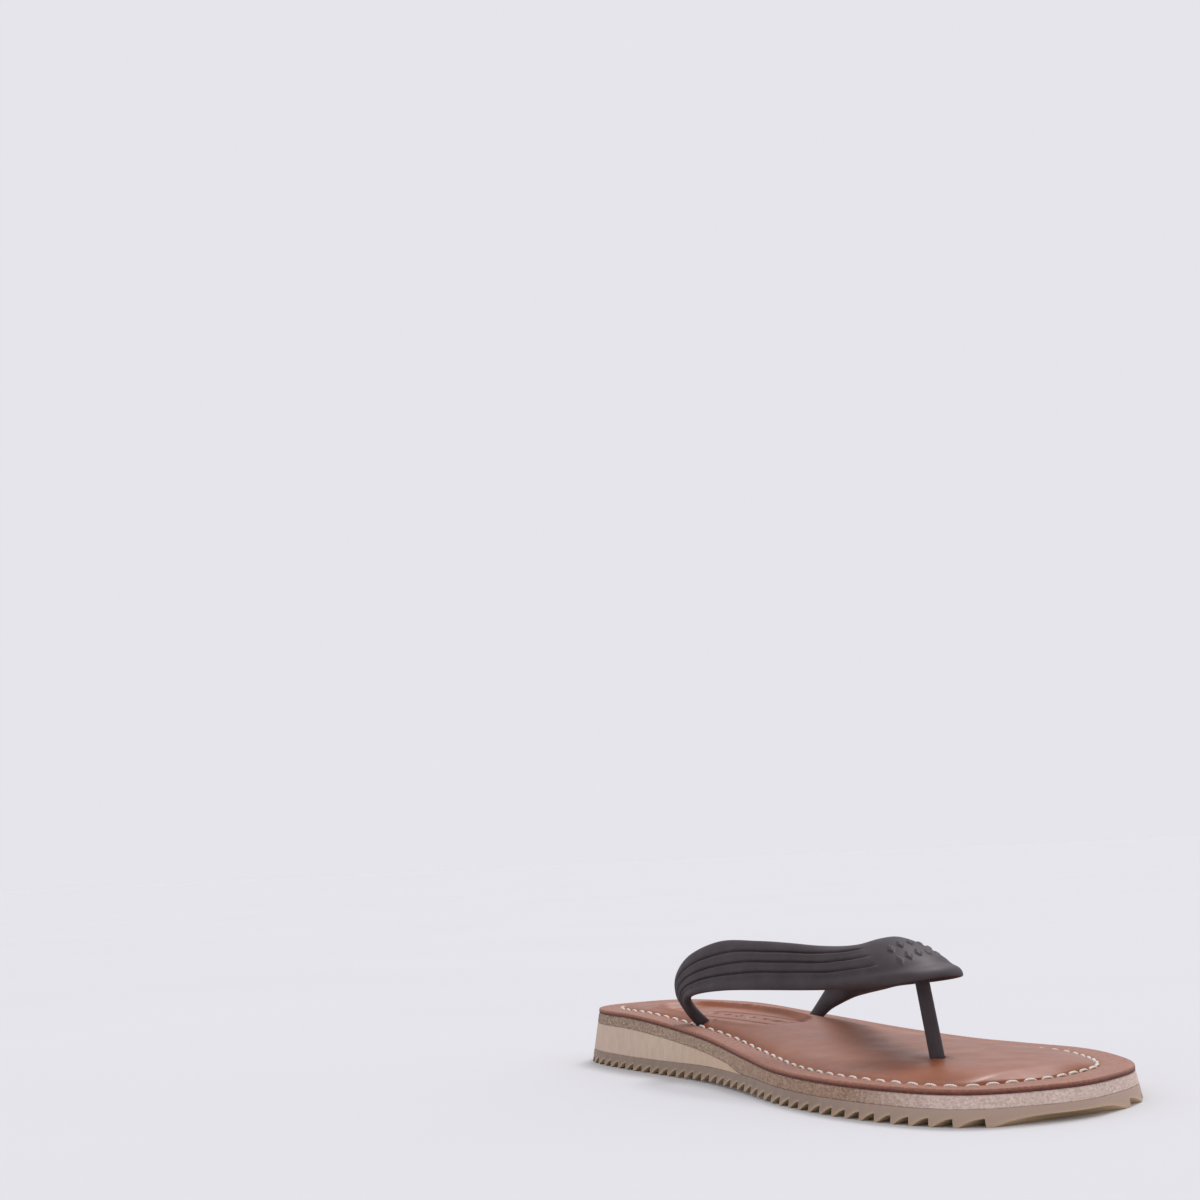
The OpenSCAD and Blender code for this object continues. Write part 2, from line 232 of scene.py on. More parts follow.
def midsoleLeather():
    # The raw cut edge of a leather board: mottled fibres, darker towards the heel.
    r = Recipe("midsole_leather")
    x = r.split(r.where)["X"]
    fibres = r.noise(1, 5, 0.75, r.stretched((950, 950, 1500)))
    blots = r.noise(330, 5, 0.7)
    toe = r.span(x, 0.082, 0.115)
    brown = r.span(x, -0.01, 0.05, 0.0, 0.7)
    light = r.mix(brown, (0.50, 0.37, 0.285), (0.45, 0.30, 0.215))
    light = r.mix(toe, light, (0.80, 0.64, 0.56))
    dark = r.mix(brown, (0.27, 0.175, 0.12), (0.21, 0.125, 0.085))
    dark = r.mix(toe, dark, (0.52, 0.385, 0.33))
    colour = r.mix(r.span(fibres, 0.38, 0.62), dark, light)
    colour = r.mix(r.span(blots, 0.5, 0.72, 0, 0.5), colour, dark)
    heel = r.span(x, -0.11, 0.0, 0.6, 0.0)
    heelFibres = r.mix(r.span(fibres, 0.4, 0.6), (0.15, 0.105, 0.075), (0.44, 0.335, 0.26))
    colour = r.mix(heel, colour, heelFibres)
    normal = r.raised(fibres, 0.6, 0.15)
    return r.finish(colour, 0.88, normal, **{"Specular IOR Level": 0.2})


def wedgeLeather():
    # Pale compressed board with fine upright scratches and a warmer thin end.
    r = Recipe("wedge_leather")
    x = r.split(r.where)["X"]
    scratch = r.noise(1, 3, 0.6, r.stretched((900, 900, 60)))
    cloud = r.noise(45, 3)
    colour = r.mix(r.span(scratch, 0.35, 0.65), (0.56, 0.425, 0.325), (0.63, 0.49, 0.385))
    colour = r.mix(r.span(cloud, 0.45, 0.75, 0, 0.3), colour, (0.47, 0.36, 0.29))
    colour = r.mix(r.span(x, -0.05, 0.0, 0.0, 0.35), colour, (0.62, 0.40, 0.24))
    normal = r.raised(scratch, 0.15, 0.06)
    return r.finish(colour, 0.78, normal, **{"Specular IOR Level": 0.25})


def outsoleRubber():
    # Honey-grey crepe rubber: a sanded greyish side and tan moulded notches. Light passes a little way in.
    r = Recipe("outsole_rubber")
    wall, high, _ = r.mark("zone")
    grain = r.noise(1, 4, 0.65, r.stretched((500, 500, 180)))
    cloud = r.noise(60, 4, 0.6)
    x = r.split(r.where)["X"]
    toe = r.span(x, 0.055, 0.12)
    side = r.mix(r.span(grain, 0.3, 0.7), (0.245, 0.175, 0.133), (0.305, 0.225, 0.175))
    side = r.mix(toe, side, (0.46, 0.33, 0.26))
    notch = r.mix(r.span(cloud, 0.35, 0.65), (0.46, 0.31, 0.18), (0.60, 0.43, 0.28))
    colour = r.mix(wall, notch, side)
    colour = r.mix(r.span(high, 0.0, 0.35, 0.75, 0.0), colour, (0.56, 0.40, 0.25))
    normal = r.raised(grain, 0.3, 0.12)
    rough = r.span(wall, 0, 1, 0.45, 0.62)
    return r.finish(colour, rough, normal, **{
        "Subsurface Weight": 0.25, "Subsurface Radius": (1.0, 0.7, 0.45), "Subsurface Scale": 0.002,
        "Specular IOR Level": 0.4})


def strapRubber():
    # Dark chocolate moulded rubber: satin, faint mould mottling and fine ticks on the lowest rib.
    r = Recipe("strap_rubber")
    along, across, ribs = r.mark("band")
    cloud = r.noise(120, 4, 0.6)
    colour = r.mix(r.span(cloud, 0.35, 0.7), (0.052, 0.041, 0.044), (0.070, 0.056, 0.060))
    ticks = r.sum("SINE", r.sum("MULTIPLY", along, 2 * math.pi / 1.25), 0.0)
    where = r.sum("MULTIPLY", r.span(across, -0.72, -0.58), r.span(across, -0.40, -0.52))
    where = r.sum("MULTIPLY", where, ribs)
    normal = r.raised(r.sum("MULTIPLY", ticks, where), 0.45, 0.12)
    normal = r.raised(r.noise(1800, 3, 0.6), 0.22, 0.05, normal)
    rough = r.span(r.noise(70, 4), 0.3, 0.7, 0.48, 0.58)
    return r.finish(colour, rough, normal, **{"Specular IOR Level": 0.17})


def waxedThread():
    # Off-white two-ply thread: painted shade darkens the grooves of the twist, and random patches of soil
    # darken it a little.
    r = Recipe("waxed_thread")
    along, around, _ = r.mark("ply")
    turn = r.sum("ADD", r.sum("MULTIPLY", along, 7.5), r.sum("MULTIPLY", around, 2.0))
    twist = r.sum("SINE", turn, 0.0)
    # painted shade: the thread is darker where the twist wave is low, in the grooves between the plies
    colour = r.mix(r.span(twist, -1, -0.2), (0.56, 0.50, 0.40), (0.78, 0.73, 0.64))
    colour = r.mix(r.span(r.noise(600, 3), 0.5, 0.75, 0, 0.3), colour, (0.60, 0.54, 0.45))
    return r.finish(colour, 0.7, r.raised(twist, 0.35, 0.12), **{"Sheen Weight": 0.2})


def openFoam():
    # Cream open-cell foam, with painted shade in the cell hollows.
    r = Recipe("open_foam")
    cells = r.cells(700)
    # painted shade: darker towards each cell's middle, where the bump sinks into a hollow
    colour = r.mix(r.span(cells, 0.1, 0.7), (0.45, 0.39, 0.29), (0.80, 0.74, 0.62))
    return r.finish(colour, 0.95, r.raised(cells, 0.9, 0.4), **{"Specular IOR Level": 0.15})


def washerPlastic():
    # Plain milky moulded plastic with turned rings.
    r = Recipe("washer_plastic")
    rings = r.noise(500, 3)
    colour = r.mix(r.span(rings, 0.35, 0.65), (0.50, 0.50, 0.49), (0.66, 0.66, 0.64))
    return r.finish(colour, 0.4, r.raised(rings, 0.2, 0.05))


# ---------------------------------------------------------------- the sole's outline and heights
sole = {
    "rows": [  # x, inner side y, outer side y of the footbed's edge
        (-126, -18, 6), (-119, -27.5, 15), (-105, -33, 20), (-80, -35, 23.5), (-50, -35, 27.5),
        (-20, -36.5, 34), (10, -42, 43), (40, -49, 50), (70, -52, 52), (97, -49.5, 42.5),
        (115, -43, 29.5), (124.5, -31, 12)],
    "heelEnd": (-127, -5), "toeEnd": (129, -7), "length": 256,
    "heelFlare": 3.5, "toeFlare": 1.5, "waistRise": 0.8,
    "outsole": 4.9, "wedge": 10, "midsole": 3.8, "cover": 1.7,
    "stitchInset": 9, "endInset": 4,
}
soleRows = np.array(sole["rows"], float)
corners = np.vstack([sole["heelEnd"], soleRows[:, :2], sole["toeEnd"], soleRows[::-1][:, [0, 2]]])
# the outline's parameter runs from 0 at the heel to toeAt at the toe and 2 * toeAt back at the heel
toeAt = len(soleRows) + 1


def outlineAt(u):
    # Point and outward direction on the closed smooth curve through the corners. The direction is
    # the curve's slope turned a quarter round, at length 1.
    k = np.floor(u).astype(int)
    t = (u - k)[..., None]
    a, b, c, d = (corners[(k + j) % len(corners)] for j in (-1, 0, 1, 2))
    point = through(a, b, c, d, t)
    slope = (c - a) + 2 * (2 * a - 5 * b + 4 * c - d) * t + 3 * (3 * b - a - 3 * c + d) * t ** 2
    out = np.stack([slope[..., 1], -slope[..., 0]], -1)
    return point, out / np.linalg.norm(out, axis=-1, keepdims=True)


def sidePoint(w, side, grow):
    # The edge at row parameter w on the inner (-1) or outer (+1) side, moved outward by grow.
    point, out = outlineAt(w if side < 0 else (2 * toeAt - w) % (2 * toeAt))
    return point + out * np.asarray(grow)[..., None]


def rowX(w):
    # The x of a row across the sole: halfway between its two edge points.
    return (sidePoint(w, -1, 0 * w)[:, 0] + sidePoint(w, 1, 0 * w)[:, 0]) / 2


def insetAt(w, side):
    # How far in the stitch line stands: a set distance plus an extra that eases in at the heel and
    # round the toe, over a longer way on the outer side.
    reach = np.where(side < 0, 2.2, 4.5)
    ends = (1 - smooth(w / 2.6)) + (1 - smooth((toeAt - w) / reach))
    return sole["stitchInset"] + sole["endInset"] * ends


def floorZ(x):
    # Height of the sole's underside: a low rise at the waist, eased in and out.
    return sole["waistRise"] * smooth((x + 65) / 50) * smooth((55 - x) / 50)


def slopeAt(x):
    # The heel's whole rise, eased down towards the forefoot.
    return sole["wedge"] * (1 - smooth((x + 90) / 122))


def wedgeAt(x):
    # Thickness of the wedge: the rise, eased out early at the waist. The midsole takes up the rest.
    return slopeAt(x) * (1 - smooth((x + 6) / 16))


def outsoleTop(x):
    # The underside plus the outsole's thickness.
    return floorZ(x) + sole["outsole"]


def midsoleTop(x):
    # The outsole's top plus the rise plus the midsole's thickness.
    return outsoleTop(x) + slopeAt(x) + sole["midsole"]


def flareAt(x, z):
    # The sides lean out towards the floor, more at the heel than at the toe: the lean times the
    # share of the height that lies above z.
    side = sole["heelFlare"] + (sole["toeFlare"] - sole["heelFlare"]) * (x / sole["length"] + 0.5)
    return side * (midsoleTop(x) - z) / (midsoleTop(x) - floorZ(x))


def wallLine(w, side, x, z, inset):
    # One line of points along a side wall, at height z and pulled in by inset.
    flat = sidePoint(w, side, np.maximum(flareAt(x, z), 0) - inset)
    return np.column_stack([flat, np.broadcast_to(z, x.shape)])


def acrossLines(w, shares, grow, z):
    # Lines of points between the inner and the outer side at the given shares of the way across.
    inner, outer = sidePoint(w, -1, grow), sidePoint(w, 1, grow)
    return [np.column_stack([inner * (1 - s) + outer * s, z]) for s in shares]


def slab(w, low, high, levels, wander=0.0):
    # A closed layer between two heights: bottom, outer wall, top and inner wall, row by row.
    # Levels are (share of the height, inset) pairs, and wander pushes the wall in and out a little.
    x = rowX(w)
    waves = wander * (np.sin(x * 0.9 + 1) + 0.7 * np.sin(x * 2.3) + 0.5 * np.sin(x * 5.1 + 2)) / 2
    shares = np.linspace(0.04, 0.96, 8)
    flareLow, flareHigh = flareAt(x, low) - 0.5, flareAt(x, high) - 0.5
    loop = acrossLines(w, shares, flareLow, low)
    loop += [wallLine(w, 1, x, low + (high - low) * t, i + waves) for t, i in levels]
    loop += acrossLines(w, shares[::-1], flareHigh, high)
    loop += [wallLine(w, -1, x, low + (high - low) * t, i + waves) for t, i in levels[::-1]]
    return np.stack(loop, 1)


# ---------------------------------------------------------------- outsole
tread = {"front": 124.6, "pitch": 6.2, "tip": 1.0, "depth": 2.4, "lastTooth": 40,
         "nick": 0.22, "nickWidth": 0.08, "endReach": 6, "corner": 0.12, "sharp": 28}


def treadZ(x):
    # From each tooth's flat tip the sole slopes up toe-ward as a quarter sine and drops straight at
    # the next tooth. In front of the first tooth the slope runs out past the toe.
    d = x - (tread["front"] - tread["tip"])
    d = np.where(d < 0, np.mod(d, tread["pitch"]), d)
    share = np.clip((d - tread["tip"]) / (tread["pitch"] - tread["tip"]), 0, 1)
    slope = tread["depth"] * np.sin(math.pi / 2 * share)
    nick = tread["nick"] * bump(d, tread["nickWidth"])  # the tip's heel-side corner is a little round
    return floorZ(x) + slope + nick


def makeOutsole():
    # Rows stand at fixed x, so that each tooth's edges run straight across; both sides share them.
    offsets = np.array([0.001, 0.1, 0.3, 0.7, 1.0, 1.5, 2.3, 3.2, 4.2, 5.2, 5.8, 6.1])
    teeth = np.arange(tread["lastTooth"] + 2)
    xs = ((tread["front"] - tread["tip"] - teeth * tread["pitch"])[:, None] + offsets).ravel()
    w = np.linspace(0, toeAt, 6001)
    floorOf = [sidePoint(w, s, flareAt(rowX(w), floorZ(rowX(w))))[:, 0] for s in (-1, 1)]
    first, last = max(f[0] for f in floorOf), min(f[-1] for f in floorOf)
    ease = 1 - np.cos(np.linspace(0, math.pi / 2, 14))
    xs = np.concatenate([xs, first + tread["endReach"] * ease, last - tread["endReach"] * ease])
    xs = np.unique(np.round(xs[(xs > first) & (xs < last)], 3))
    xs = np.concatenate([[first], xs, [last]])
    ways = [np.interp(xs, np.maximum.accumulate(f), w) for f in floorOf]
    for way in ways:
        way[0], way[-1] = 0, toeAt
    low, high = treadZ(xs), outsoleTop(xs)
    c = tread["corner"]
    levels = [(0, c), (0.05, 0.0), (0.25, 0.0), (0.5, 0.0), (0.75, 0.0), (0.97, 0.0), (1, c)]
    inner, outer = ([wallLine(way, s, xs, low + (high - low) * t, i + 0 * xs) for t, i in levels]
                    for way, s in zip(ways, (-1, 1)))
    shares = np.linspace(0, 1, 15)[1:-1, None, None]
    under = list(inner[0] * (1 - shares) + outer[0] * shares)
    over = list(outer[-1] * (1 - shares) + inner[-1] * shares)
    loop = np.stack(under + outer + over + inner[::-1], 1)
    # zone: 1 on the sanded side, 0 in the tread; then the share of the way up the side
    wall = [(1 if t > 0 else 0.5, t, 0) for t, _ in levels]
    tags = [(0, 0, 0)] * len(under) + wall + [(1, 1, 0)] * len(over) + wall[::-1]
    marks = np.broadcast_to(np.array(tags, float), loop.shape)
    rows, columns = loop.shape[:2]
    piece = makePiece("outsole_tread", loop, loopFaces(rows, columns), {"zone": marks}, tread["sharp"])
    place(piece, outsoleRubber(), "outsole_rubber", "outsole")


# ---------------------------------------------------------------- wedge and midsole
layers = {"rowsPerCorner": 18, "wedgeEnd": 10, "corner": 0.22, "wander": 0.10}


def makeWedge():
    # A closed layer on the outsole, as high as wedgeAt less a hair, with a cap at its thin end.
    w = np.linspace(0, toeAt, toeAt * layers["rowsPerCorner"] + 1)
    w = w[rowX(w) < layers["wedgeEnd"]]
    x = rowX(w)
    low = outsoleTop(x) + 0.01
    high = low + np.maximum(wedgeAt(x) - 0.02, 0.02)
    c = layers["corner"]
    levels = [(0, c), (0.03, 0), (0.25, 0), (0.5, 0), (0.75, 0), (0.97, 0), (1, c)]
    loop = slab(w, low, high, levels, layers["wander"] * 0.4)
    rows, columns = loop.shape[:2]
    faces = list(loopFaces(rows, columns)) + capFaces(rows, columns)[1:]
    place(makePiece("heel_wedge_board", loop, faces), wedgeLeather(), "wedge_leather", "heel_wedge")


def makeMidsole():
    # A closed layer from the outsole or the wedge up to midsoleTop, its wall a little uneven.
    w = np.linspace(0, toeAt, toeAt * layers["rowsPerCorner"] * 2 + 1)
    x = rowX(w)
    low, high = outsoleTop(x) + wedgeAt(x) + 0.01, midsoleTop(x) - 0.01
    c = layers["corner"]
    levels = [(0, c * 1.3), (0.08, 0.02), (0.3, -0.03), (0.5, 0.02), (0.7, -0.02), (0.92, 0.02),
              (1, c * 1.3)]
    loop = slab(w, low, high, levels, layers["wander"])
    piece = makePiece("midsole_board", loop, loopFaces(*loop.shape[:2]))
    place(piece, midsoleLeather(), "midsole_leather", "midsole")


# ---------------------------------------------------------------- footbed cover and foam
footbed = {
    "crown": 2.9, "channelDepth": 0.55, "channelWidth": 1.3, "rimDrop": 0.1,
    "toeHole": (71.5, -10.2), "innerHole": (-46, -22.5), "outerHole": (-35, 17.7),
    "dimple": 0.9, "dimpleWidth": 7, "dimpleCore": 3.2, "holeLip": (0.45, 4.2, 1.1),
    "cupFront": -17.5, "cupBack": -99, "cupHalf": 16.5, "cupDepth": 2.0,
    "cupLip": 0.22, "cupLipWidth": 0.09, "cupWall": 0.11,
    "panelMiddle": (-47, -2.5), "panelTurn": 13, "panelHalf": (24, 7), "panelDepth": 0.8,
    "borderWidth": 0.45, "lozengePitch": 6.5, "lozengeHalf": (2.4, 2.7),
    "closeRows": (3.0, 5.2, 100), "underLift": 0.25, "sharp": 50,
}


def soleMiddle(x):
    # The middle line of the sole bends a little towards the big toe at the front.
    return -4 - 0.02 * (x + 42)


def crownShape(v, w):
    # Across the pad it rises as 1 - |2v - 1| to the power n. The pad is nearly flat at the heel,
    # swells towards the instep and eases in at the toe.
    x = rowX(w)
    power = 5 - 1.5 * smooth((x - 10) / 60)
    along = smooth(w * 4 / 7) * (0.28 + 0.72 * smooth((x + 100) / 72)) * smooth((toeAt - w) / 2.3)
    return (1 - np.abs(2 * v - 1) ** power) * along


def heelCup(x, y):
    # A shallow cup under the heel: inside a rounded oblong (a third-power oval) the leather eases
    # down, and a low bump runs round its edge.
    d = footbed
    middle, half = (d["cupFront"] + d["cupBack"]) / 2, (d["cupFront"] - d["cupBack"]) / 2
    r = (np.abs((x - middle) / half) ** 3 + np.abs((y - soleMiddle(x)) / d["cupHalf"]) ** 3) ** (1 / 3)
    lip = d["cupLip"] * bump(r - 1.04, d["cupLipWidth"])
    return d["cupDepth"] * (lip - smooth((1.03 - r) / d["cupWall"]))


def stampedPanel(x, y):
    # A pressed border line round an oblong (a sixth-power oval) and a row of plain pressed lozenges
    # inside it, in the panel's own turned directions s and t.
    d = footbed
    a = math.radians(d["panelTurn"])
    s = (x - d["panelMiddle"][0]) * math.cos(a) + (y - d["panelMiddle"][1]) * math.sin(a)
    t = -(x - d["panelMiddle"][0]) * math.sin(a) + (y - d["panelMiddle"][1]) * math.cos(a)
    halfLength, halfWidth = d["panelHalf"]
    r = (np.abs(s / halfLength) ** 6 + np.abs(t / halfWidth) ** 6) ** (1 / 6)
    border = bump((r - 1) * halfWidth, d["borderWidth"])
    pitch, (longHalf, wideHalf) = d["lozengePitch"], d["lozengeHalf"]
    cell = np.mod(s + pitch / 2, pitch) - pitch / 2
    lozenge = smooth((1 - (np.abs(cell) / longHalf + np.abs(t) / wideHalf)) / 0.25)
    lozenge = lozenge * (np.abs(s) < halfLength - 3)
    return -d["panelDepth"] * np.maximum(border, lozenge * 0.9)


def dimples(x, y):
    # The strap pulls the leather down round its three holes: a wide and a narrow bump, less a low
    # ring at the edge of the hole.
    drop = 0
    lip, lipRadius, lipWidth = footbed["holeLip"]
    for hole, deep in (("toeHole", 1.0), ("innerHole", 1.0), ("outerHole", 1.2)):
        r = np.hypot(x - footbed[hole][0], y - footbed[hole][1])
        pull = 0.6 * bump(r, footbed["dimpleWidth"]) + 0.4 * bump(r, footbed["dimpleCore"])
        drop = drop - footbed["dimple"] * deep * pull
        drop = drop + lip * bump(r - lipRadius, lipWidth)
    return drop


def coverLift(x, y, v, w, inset):
    # Height of the cover above its rim: the crown and the pressings inside the stitch line, less the
    # channel along it and a slight sag.
    d = footbed
    inside = (v > 0) & (v < 1)
    crown = np.where(inside, d["crown"] * crownShape(np.clip(v, 0, 1), w), 0)
    pressed = np.where(inside, heelCup(x, y) + stampedPanel(x, y) + dimples(x, y), 0)
    channel = -d["channelDepth"] * bump(inset - sole["stitchInset"], d["channelWidth"])
    sag = -d["rimDrop"] * smooth(inset / 4)
    return crown + pressed + channel + sag


def makeCover():
    # Each row is one closed loop: rim, pad, rim, cut edge, underside, cut edge. Rows are closer
    # together over the heel cup and the rear half of the pressed panel.
    base = np.linspace(0, toeAt, toeAt * 16 + 1)
    close = np.linspace(*footbed["closeRows"])
    w = np.unique(np.round(np.concatenate([base, close]), 4))
    x = rowX(w)
    top = midsoleTop(x) + sole["cover"]
    spread = {side: insetAt(w, side) / sole["stitchInset"] for side in (-1, 1)}
    rim = np.array([0.55, 1.2, 2.5, 4, 5.5, 6.8, 7.6, 8.1, 8.5, 8.8, 9.1])
    shares = np.concatenate([[0.004, 0.012, 0.022, 0.035, 0.05], np.linspace(0.07, 0.93, 74),
                             [0.95, 0.965, 0.978, 0.988, 0.996]])
    lines, tags = [], []

    def rimLine(side, d):
        # Between the edge and the stitch line, at inset d.
        flat = sidePoint(w, side, -d * spread[side])
        z = top + coverLift(flat[:, 0], flat[:, 1], np.full(len(w), -1.0), w, d)
        lines.append(np.column_stack([flat, z]))
        tags.append((0, smooth((d - 8.4) / 1.2), 0))

    def padLine(v):
        # Inside the stitch line, at share v of the way across.
        a, b = sidePoint(w, -1, -rim[-1] * spread[-1]), sidePoint(w, 1, -rim[-1] * spread[1])
        flat = a * (1 - v) + b * v
        width = np.linalg.norm(b - a, axis=1)
        d = rim[-1] + np.minimum(v, 1 - v) * width
        z = top + coverLift(flat[:, 0], flat[:, 1], np.full(len(w), v), w, d)
        lines.append(np.column_stack([flat, z]))
        tags.append((0, 1, 0))

    def edgeLine(side, drop, d, mark):
        # Down the cut edge, with the share of the burnt colour.
        lines.append(wallLine(w, side, x, top - drop, d + 0 * w))
        tags.append((mark, 0, 0))

    edges = [(0.02, 0.5, 0), (0.12, 0.2, 0), (0.3, 0.06, 0.0), (0.6, 0, 0.25), (1.0, -0.02, 0.9),
             (1.5, 0.02, 1), (1.69, 0.22, 1)]
    for d in rim:
        rimLine(-1, d)
    for v in shares:
        padLine(v)
    for d in rim[::-1]:
        rimLine(1, d)
    for drop, d, mark in edges:
        edgeLine(1, drop, d, mark)
    for v in np.linspace(0.97, 0.03, 16):
        flat = sidePoint(w, -1, 0 * w - 1) * (1 - v) + sidePoint(w, 1, 0 * w - 1) * v
        lift = footbed["underLift"] * footbed["crown"] * crownShape(np.full(len(w), v), w)
        lines.append(np.column_stack([flat, top - sole["cover"] + 0.02 + lift]))
        tags.append((0, 0, 0))
    for drop, d, mark in edges[::-1]:
        edgeLine(-1, drop, d, mark)
    loop = np.stack(lines, 1)
    marks = np.broadcast_to(np.array(tags), loop.shape)
    faces = loopFaces(*loop.shape[:2])
    piece = makePiece("footbed_cover_leather", loop, faces, {"zone": marks}, footbed["sharp"])
    place(piece, coverLeather(), "cover_leather", "footbed_cover")


foam = {"beyondStitches": 2, "lift": 0.2, "points": 15}


def makeFoam():
    # The foam rises by a share of the cover's crown, so that it never shows through.
    w = np.linspace(0, toeAt, toeAt * 6 + 1)
    x = rowX(w)
    low = midsoleTop(x) + 0.03
    shares = np.linspace(0, 1, foam["points"])
    inner, outer = (sidePoint(w, side, -insetAt(w, side) - foam["beyondStitches"]) for side in (-1, 1))
    bottom = [np.column_stack([inner * (1 - s) + outer * s, low]) for s in shares]
    topLines = []
    for s in shares[::-1]:
        lift = foam["lift"] * footbed["crown"] * crownShape(np.full(len(w), s), w)
        topLines.append(np.column_stack([inner * (1 - s) + outer * s, low + 0.05 + lift]))
    loop = np.stack(bottom + topLines, 1)
    piece = makePiece("foam_pad_core", loop, loopFaces(*loop.shape[:2]))
    place(piece, openFoam(), "foam", "foam_pad")


# ---------------------------------------------------------------- stitching
stitching = {"pitch": 6.4, "length": 4.8, "thread": 0.42, "lean": 9, "leanShare": 0.6,
             "rise": 0.45, "dive": 0.8, "wider": 1.35, "uneven": 0.05, "around": 8, "along": 13, "sharp": 60}


def makeStitches():
    # Each stitch is a short thick arc of thread, rising out of one hole and diving into the next. Its
    # height is the rise less the dive times |t| to the power 3.2, and its radius narrows at the ends.
    d = stitching
    u = np.linspace(0, 2 * toeAt, 5201)
    side = np.where(u <= toeAt, u, 2 * toeAt - u)
    point, out = outlineAt(u % (2 * toeAt))
    flat = point - out * insetAt(side, np.where(u <= toeAt, -1, 1))[:, None]
    length = np.concatenate([[0], np.cumsum(np.linalg.norm(np.diff(flat, axis=0), axis=1))])
    rim = midsoleTop(rowX(side)) + sole["cover"] - footbed["channelDepth"] - footbed["rimDrop"]
    total = int(length[-1] // d["pitch"])
    middles = (np.arange(total) + 0.5) * length[-1] / total
    t = np.linspace(-1, 1, d["along"])
    lean = math.tan(math.radians(d["lean"])) * d["length"] / 2
    spots = middles[:, None] + t * d["length"] / 2
    centre = np.stack([np.interp(spots, length, flat[:, 0]), np.interp(spots, length, flat[:, 1]),
                       np.interp(spots, length, rim)], -1)
    sideways = np.stack([np.interp(spots, length, out[:, 0]), np.interp(spots, length, out[:, 1]),
                         0 * spots], -1)
    centre += sideways * (t * lean)[:, None] * d["leanShare"]
    centre[..., 2] += d["rise"] - d["dive"] * np.abs(t) ** 3.2
    travel = np.gradient(centre, axis=1)
    travel /= np.linalg.norm(travel, axis=-1, keepdims=True)
    upward = np.cross(sideways, travel)
    upward *= np.sign(upward[..., 2:3])
    angle = np.arange(d["around"]) * 2 * math.pi / d["around"]
    radius = d["thread"] * np.sqrt(np.maximum(1 - np.abs(t) ** 5 * 0.98, 0.02))
    radius = radius * (1 + d["uneven"] * rng.standard_normal((total, 1)))
    ring = (sideways[:, :, None] * np.cos(angle)[:, None] * d["wider"]
            + upward[:, :, None] * np.sin(angle)[:, None])
    points = centre[:, :, None] + ring * radius[:, :, None, None]
    one = d["along"] * d["around"]
    faces = [list(f) for f in loopFaces(d["along"], d["around"])] + capFaces(d["along"], d["around"])
    faces = [[i + k * one for i in f] for k in range(total) for f in faces]
    ply = np.stack(np.broadcast_arrays(spots[:, :, None], angle, 0.0), -1)
    piece = makePiece("saddle_stitches", points, faces, {"ply": ply}, d["sharp"])
    place(piece, waxedThread(), "thread", "stitch_thread")


# ---------------------------------------------------------------- strap
strap = {
    # lower front edge (x, distance from the middle line, z), upper rear edge, swell outward and inward
    "medial": [
        ((-45.5, 21, 16.8), (-47.5, 20, 16.8), (2.3, 2.3, 0)),
        ((-46, 25.5, 21.4), (-51, 25, 23.4), (2.2, 2.2, 0)),
        ((-43.5, 29, 26.6), (-53, 28.5, 31.1), (2.2, 2, 0)),
        ((-34, 30.5, 29.5), (-49.5, 29, 37.8), (2.2, 1.8, 0)),
        ((-16.5, 28.7, 31.5), (-40.5, 27.5, 43.8), (2.3, 1.7, 0)),
        ((5.5, 25, 32.4), (-23.5, 24.5, 48.2), (2.4, 1.6, 0)),
        ((22.5, 20.5, 32.8), (-4, 20.5, 48.4), (2.5, 1.6, 0)),
        ((38, 16.5, 33.4), (12, 16, 47.7), (2.6, 1.6, 0)),
        ((53, 14.8, 34.4), (26.5, 11.5, 46.6), (3.5, 1.5, 0)),
        ((65.5, 13.5, 35.6), (38, 7, 46.6), (3.5, 1.3, 0)),
        ((74.5, 9.5, 37.1), (44.5, 3, 47.8), (2.9, 1.2, 0))],
    "nose": ((77.5, 0, 38), (47.5, 0, 48.2), (2.7, 1.2, 0)),
    "lateral": [
        ((-33, 20.2, 16.6), (-37.5, 20.2, 16.6), (2.3, 2.3, 0)),
        ((-30.5, 24.8, 20.5), (-37.5, 24.8, 22.4), (2.2, 2.2, 0)),
        ((-26.5, 28.2, 22.8), (-36.5, 28.2, 27.5), (2.2, 2, 0)),
        ((-20, 30, 24.8), (-32.5, 29, 33), (2.2, 1.8, 0)),
        ((-8.5, 28.5, 26.8), (-25.5, 27.5, 38.1), (2.3, 1.7, 0)),
        ((6.5, 25, 29), (-14, 24.5, 41.5), (2.4, 1.6, 0)),
        ((22.5, 20.5, 31.3), (-1, 20.5, 43.1), (2.5, 1.6, 0)),
        ((38.5, 16.5, 33), (13, 15.6, 44.4), (2.6, 1.6, 0)),
        ((53, 14.8, 34.5), (27, 11.2, 45.6), (3.5, 1.5, 0)),
        ((65.5, 13.5, 36.1), (38.5, 6.8, 46.4), (3.5, 1.3, 0)),
        ((74.5, 9.5, 37.5), (44.5, 3, 47.8), (2.9, 1.2, 0))],
    "steps": 26, "outerPoints": 69, "innerPoints": 26, "groovePoints": 15,
    "grooves": (0.49, 0.06, -0.35), "grooveWidth": 0.05, "grooveDepth": 0.9,
    "dome": (53, 1.15, 11), "motif": (62, 3.7, 3.6),
    "ribsFromNose": (12.5, 5), "ribsFromEnds": (6, 10), "grooveLip": (0.22, 2.4, 1.6),
    "rolledLip": (0.35, 0.86, 0.16), "lipValley": (0.30, 0.62, 0.14),
    "post": (4.5, (71.5, -10.2, 11.5), (65.2, -10.3, 41.6)),
    "plugDiameter": 13, "plugThick": 1.8, "anchorSink": 1.3, "stem": 2.3, "roundSides": 48, "sharp": 40,
}


def strapMiddle(x):
    # The strap's middle line is straight and turned a little: y falls by 0.07 for each step in x.
    return -2 - 0.07 * (x + 42)


